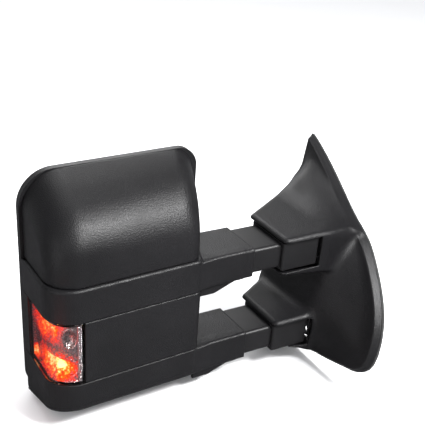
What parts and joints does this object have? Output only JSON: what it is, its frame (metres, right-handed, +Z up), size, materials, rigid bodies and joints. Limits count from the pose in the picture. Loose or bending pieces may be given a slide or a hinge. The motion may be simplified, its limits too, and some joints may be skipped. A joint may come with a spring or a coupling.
{
  "type": "telescoping tow mirror",
  "caption": "Right-hand folding, telescoping power tow mirror with twin arms, flat upper glass, convex lower glass, side signal lamp and a sail-shaped door base.",
  "frame": {"origin": "centre of the three mounting studs, on the door plane, at mid-height between the two arms", "axes": "+X towards the vehicle, -Y towards the front of the vehicle, +Z up; the door plane leans inboard at the top by 20 degrees"},
  "size_m": [0.514, 0.2815, 0.303],
  "materials": {
    "grained_black_plastic": "fine grained satin",
    "dark_plastic": "smooth satin",
    "acetal": "smooth satin",
    "die_cast": "as cast",
    "zinc_steel": "zinc plated",
    "spring_steel": "oiled",
    "coated_tube": "black textured coat",
    "foam": "closed-cell foam",
    "cable_rubber": "matt",
    "lens_red": "clear moulded",
    "reflector_chrome": "vacuum plated",
    "lamp_glow": "lit",
    "circuit_board": "lacquered",
    "heater_film": "film",
    "mirror_glass": "silvered",
    "motor_can": "drawn"
  },
  "bodies": {
    "base": {"base_cover": "grained_black_plastic", "base_bracket": "die_cast", "door_gasket": "foam", "mounting_studs": "zinc_steel", "stud_nuts": "zinc_steel", "locating_peg": "dark_plastic", "harness_grommet": "cable_rubber", "door_harness": "cable_rubber", "harness_connector": "dark_plastic", "cover_screws": "zinc_steel", "upper_fold_pin": "zinc_steel", "lower_fold_pin": "zinc_steel", "upper_fold_spring": "spring_steel", "lower_fold_spring": "spring_steel", "upper_friction_washer": "acetal", "lower_friction_washer": "acetal"},
    "arm_carrier": {"upper_pivot_block": "grained_black_plastic", "lower_pivot_block": "grained_black_plastic", "upper_arm_tube": "coated_tube", "lower_arm_tube": "coated_tube", "tube_plugs": "dark_plastic", "arm_cable": "cable_rubber"},
    "head": {"upper_band": "grained_black_plastic", "lower_band": "grained_black_plastic", "front_panel": "grained_black_plastic", "skull_cap": "grained_black_plastic", "signal_lens": "lens_red", "signal_reflector": "reflector_chrome", "signal_bulbs": "lamp_glow", "signal_board": "circuit_board", "bezel": "grained_black_plastic", "blank_panel": "grained_black_plastic", "slide_bushes": "acetal", "stop_screws": "zinc_steel", "head_frame": "dark_plastic", "frame_screws": "zinc_steel", "actuator_housing": "dark_plastic", "actuator_cover": "dark_plastic", "actuator_motors": "motor_can", "actuator_gears": "acetal", "head_loom": "cable_rubber", "spotter_socket": "dark_plastic"},
    "glass_gimbal": {"upper_pivot_ball": "acetal", "upper_pivot_pin": "zinc_steel"},
    "glass_plate": {"upper_glass_holder": "dark_plastic", "upper_heater": "heater_film", "upper_glass": "mirror_glass"},
    "yaw_jack_body": {"yaw_plunger": "acetal"},
    "pitch_jack_body": {"pitch_plunger": "acetal"},
    "spotter_gimbal": {"spotter_ball": "acetal", "spotter_pin": "zinc_steel"},
    "spotter_plate": {"spotter_holder": "dark_plastic", "spotter_heater": "heater_film", "spotter_glass": "mirror_glass"}
  },
  "joints": [
    {"name": "fold", "type": "hinge", "parent": "base", "child": "arm_carrier", "pos_m": [-0.075, 0, 0], "axis": [0, 0, 1], "range_deg": [-67, 60]},
    {"name": "telescope", "type": "slide", "parent": "arm_carrier", "child": "head", "axis": [-1, 0, 0], "range_m": [-0.036, 0.064]},
    {"name": "glass_yaw", "type": "hinge", "parent": "head", "child": "glass_gimbal", "pos_m": [-0.304, 0.0445, 0.1], "axis": [0, 0, 1], "range_deg": [-5, 5]},
    {"name": "glass_pitch", "type": "hinge", "parent": "glass_gimbal", "child": "glass_plate", "pos_m": [-0.304, 0.0445, 0.1], "axis": [1, 0, 0], "range_deg": [-4, 4]},
    {"name": "yaw_jack", "type": "slide", "parent": "head", "child": "yaw_jack_body", "axis": [0, 1, 0], "range_m": [-0.0045, 0.0045]},
    {"name": "pitch_jack", "type": "slide", "parent": "head", "child": "pitch_jack_body", "axis": [0, 1, 0], "range_m": [-0.0045, 0.0045]},
    {"name": "spotter_yaw", "type": "hinge", "parent": "head", "child": "spotter_gimbal", "pos_m": [-0.276, 0.0462, -0.057], "axis": [0, 0, 1], "range_deg": [-5, 5]},
    {"name": "spotter_pitch", "type": "hinge", "parent": "spotter_gimbal", "child": "spotter_plate", "pos_m": [-0.276, 0.0462, -0.057], "axis": [1, 0, 0], "range_deg": [-5, 5]}
  ],
  "couplings": [
    {"joint": "yaw_jack", "follows": "glass_yaw", "m_per_rad": -0.038},
    {"joint": "pitch_jack", "follows": "glass_pitch", "m_per_rad": -0.038}
  ]
}
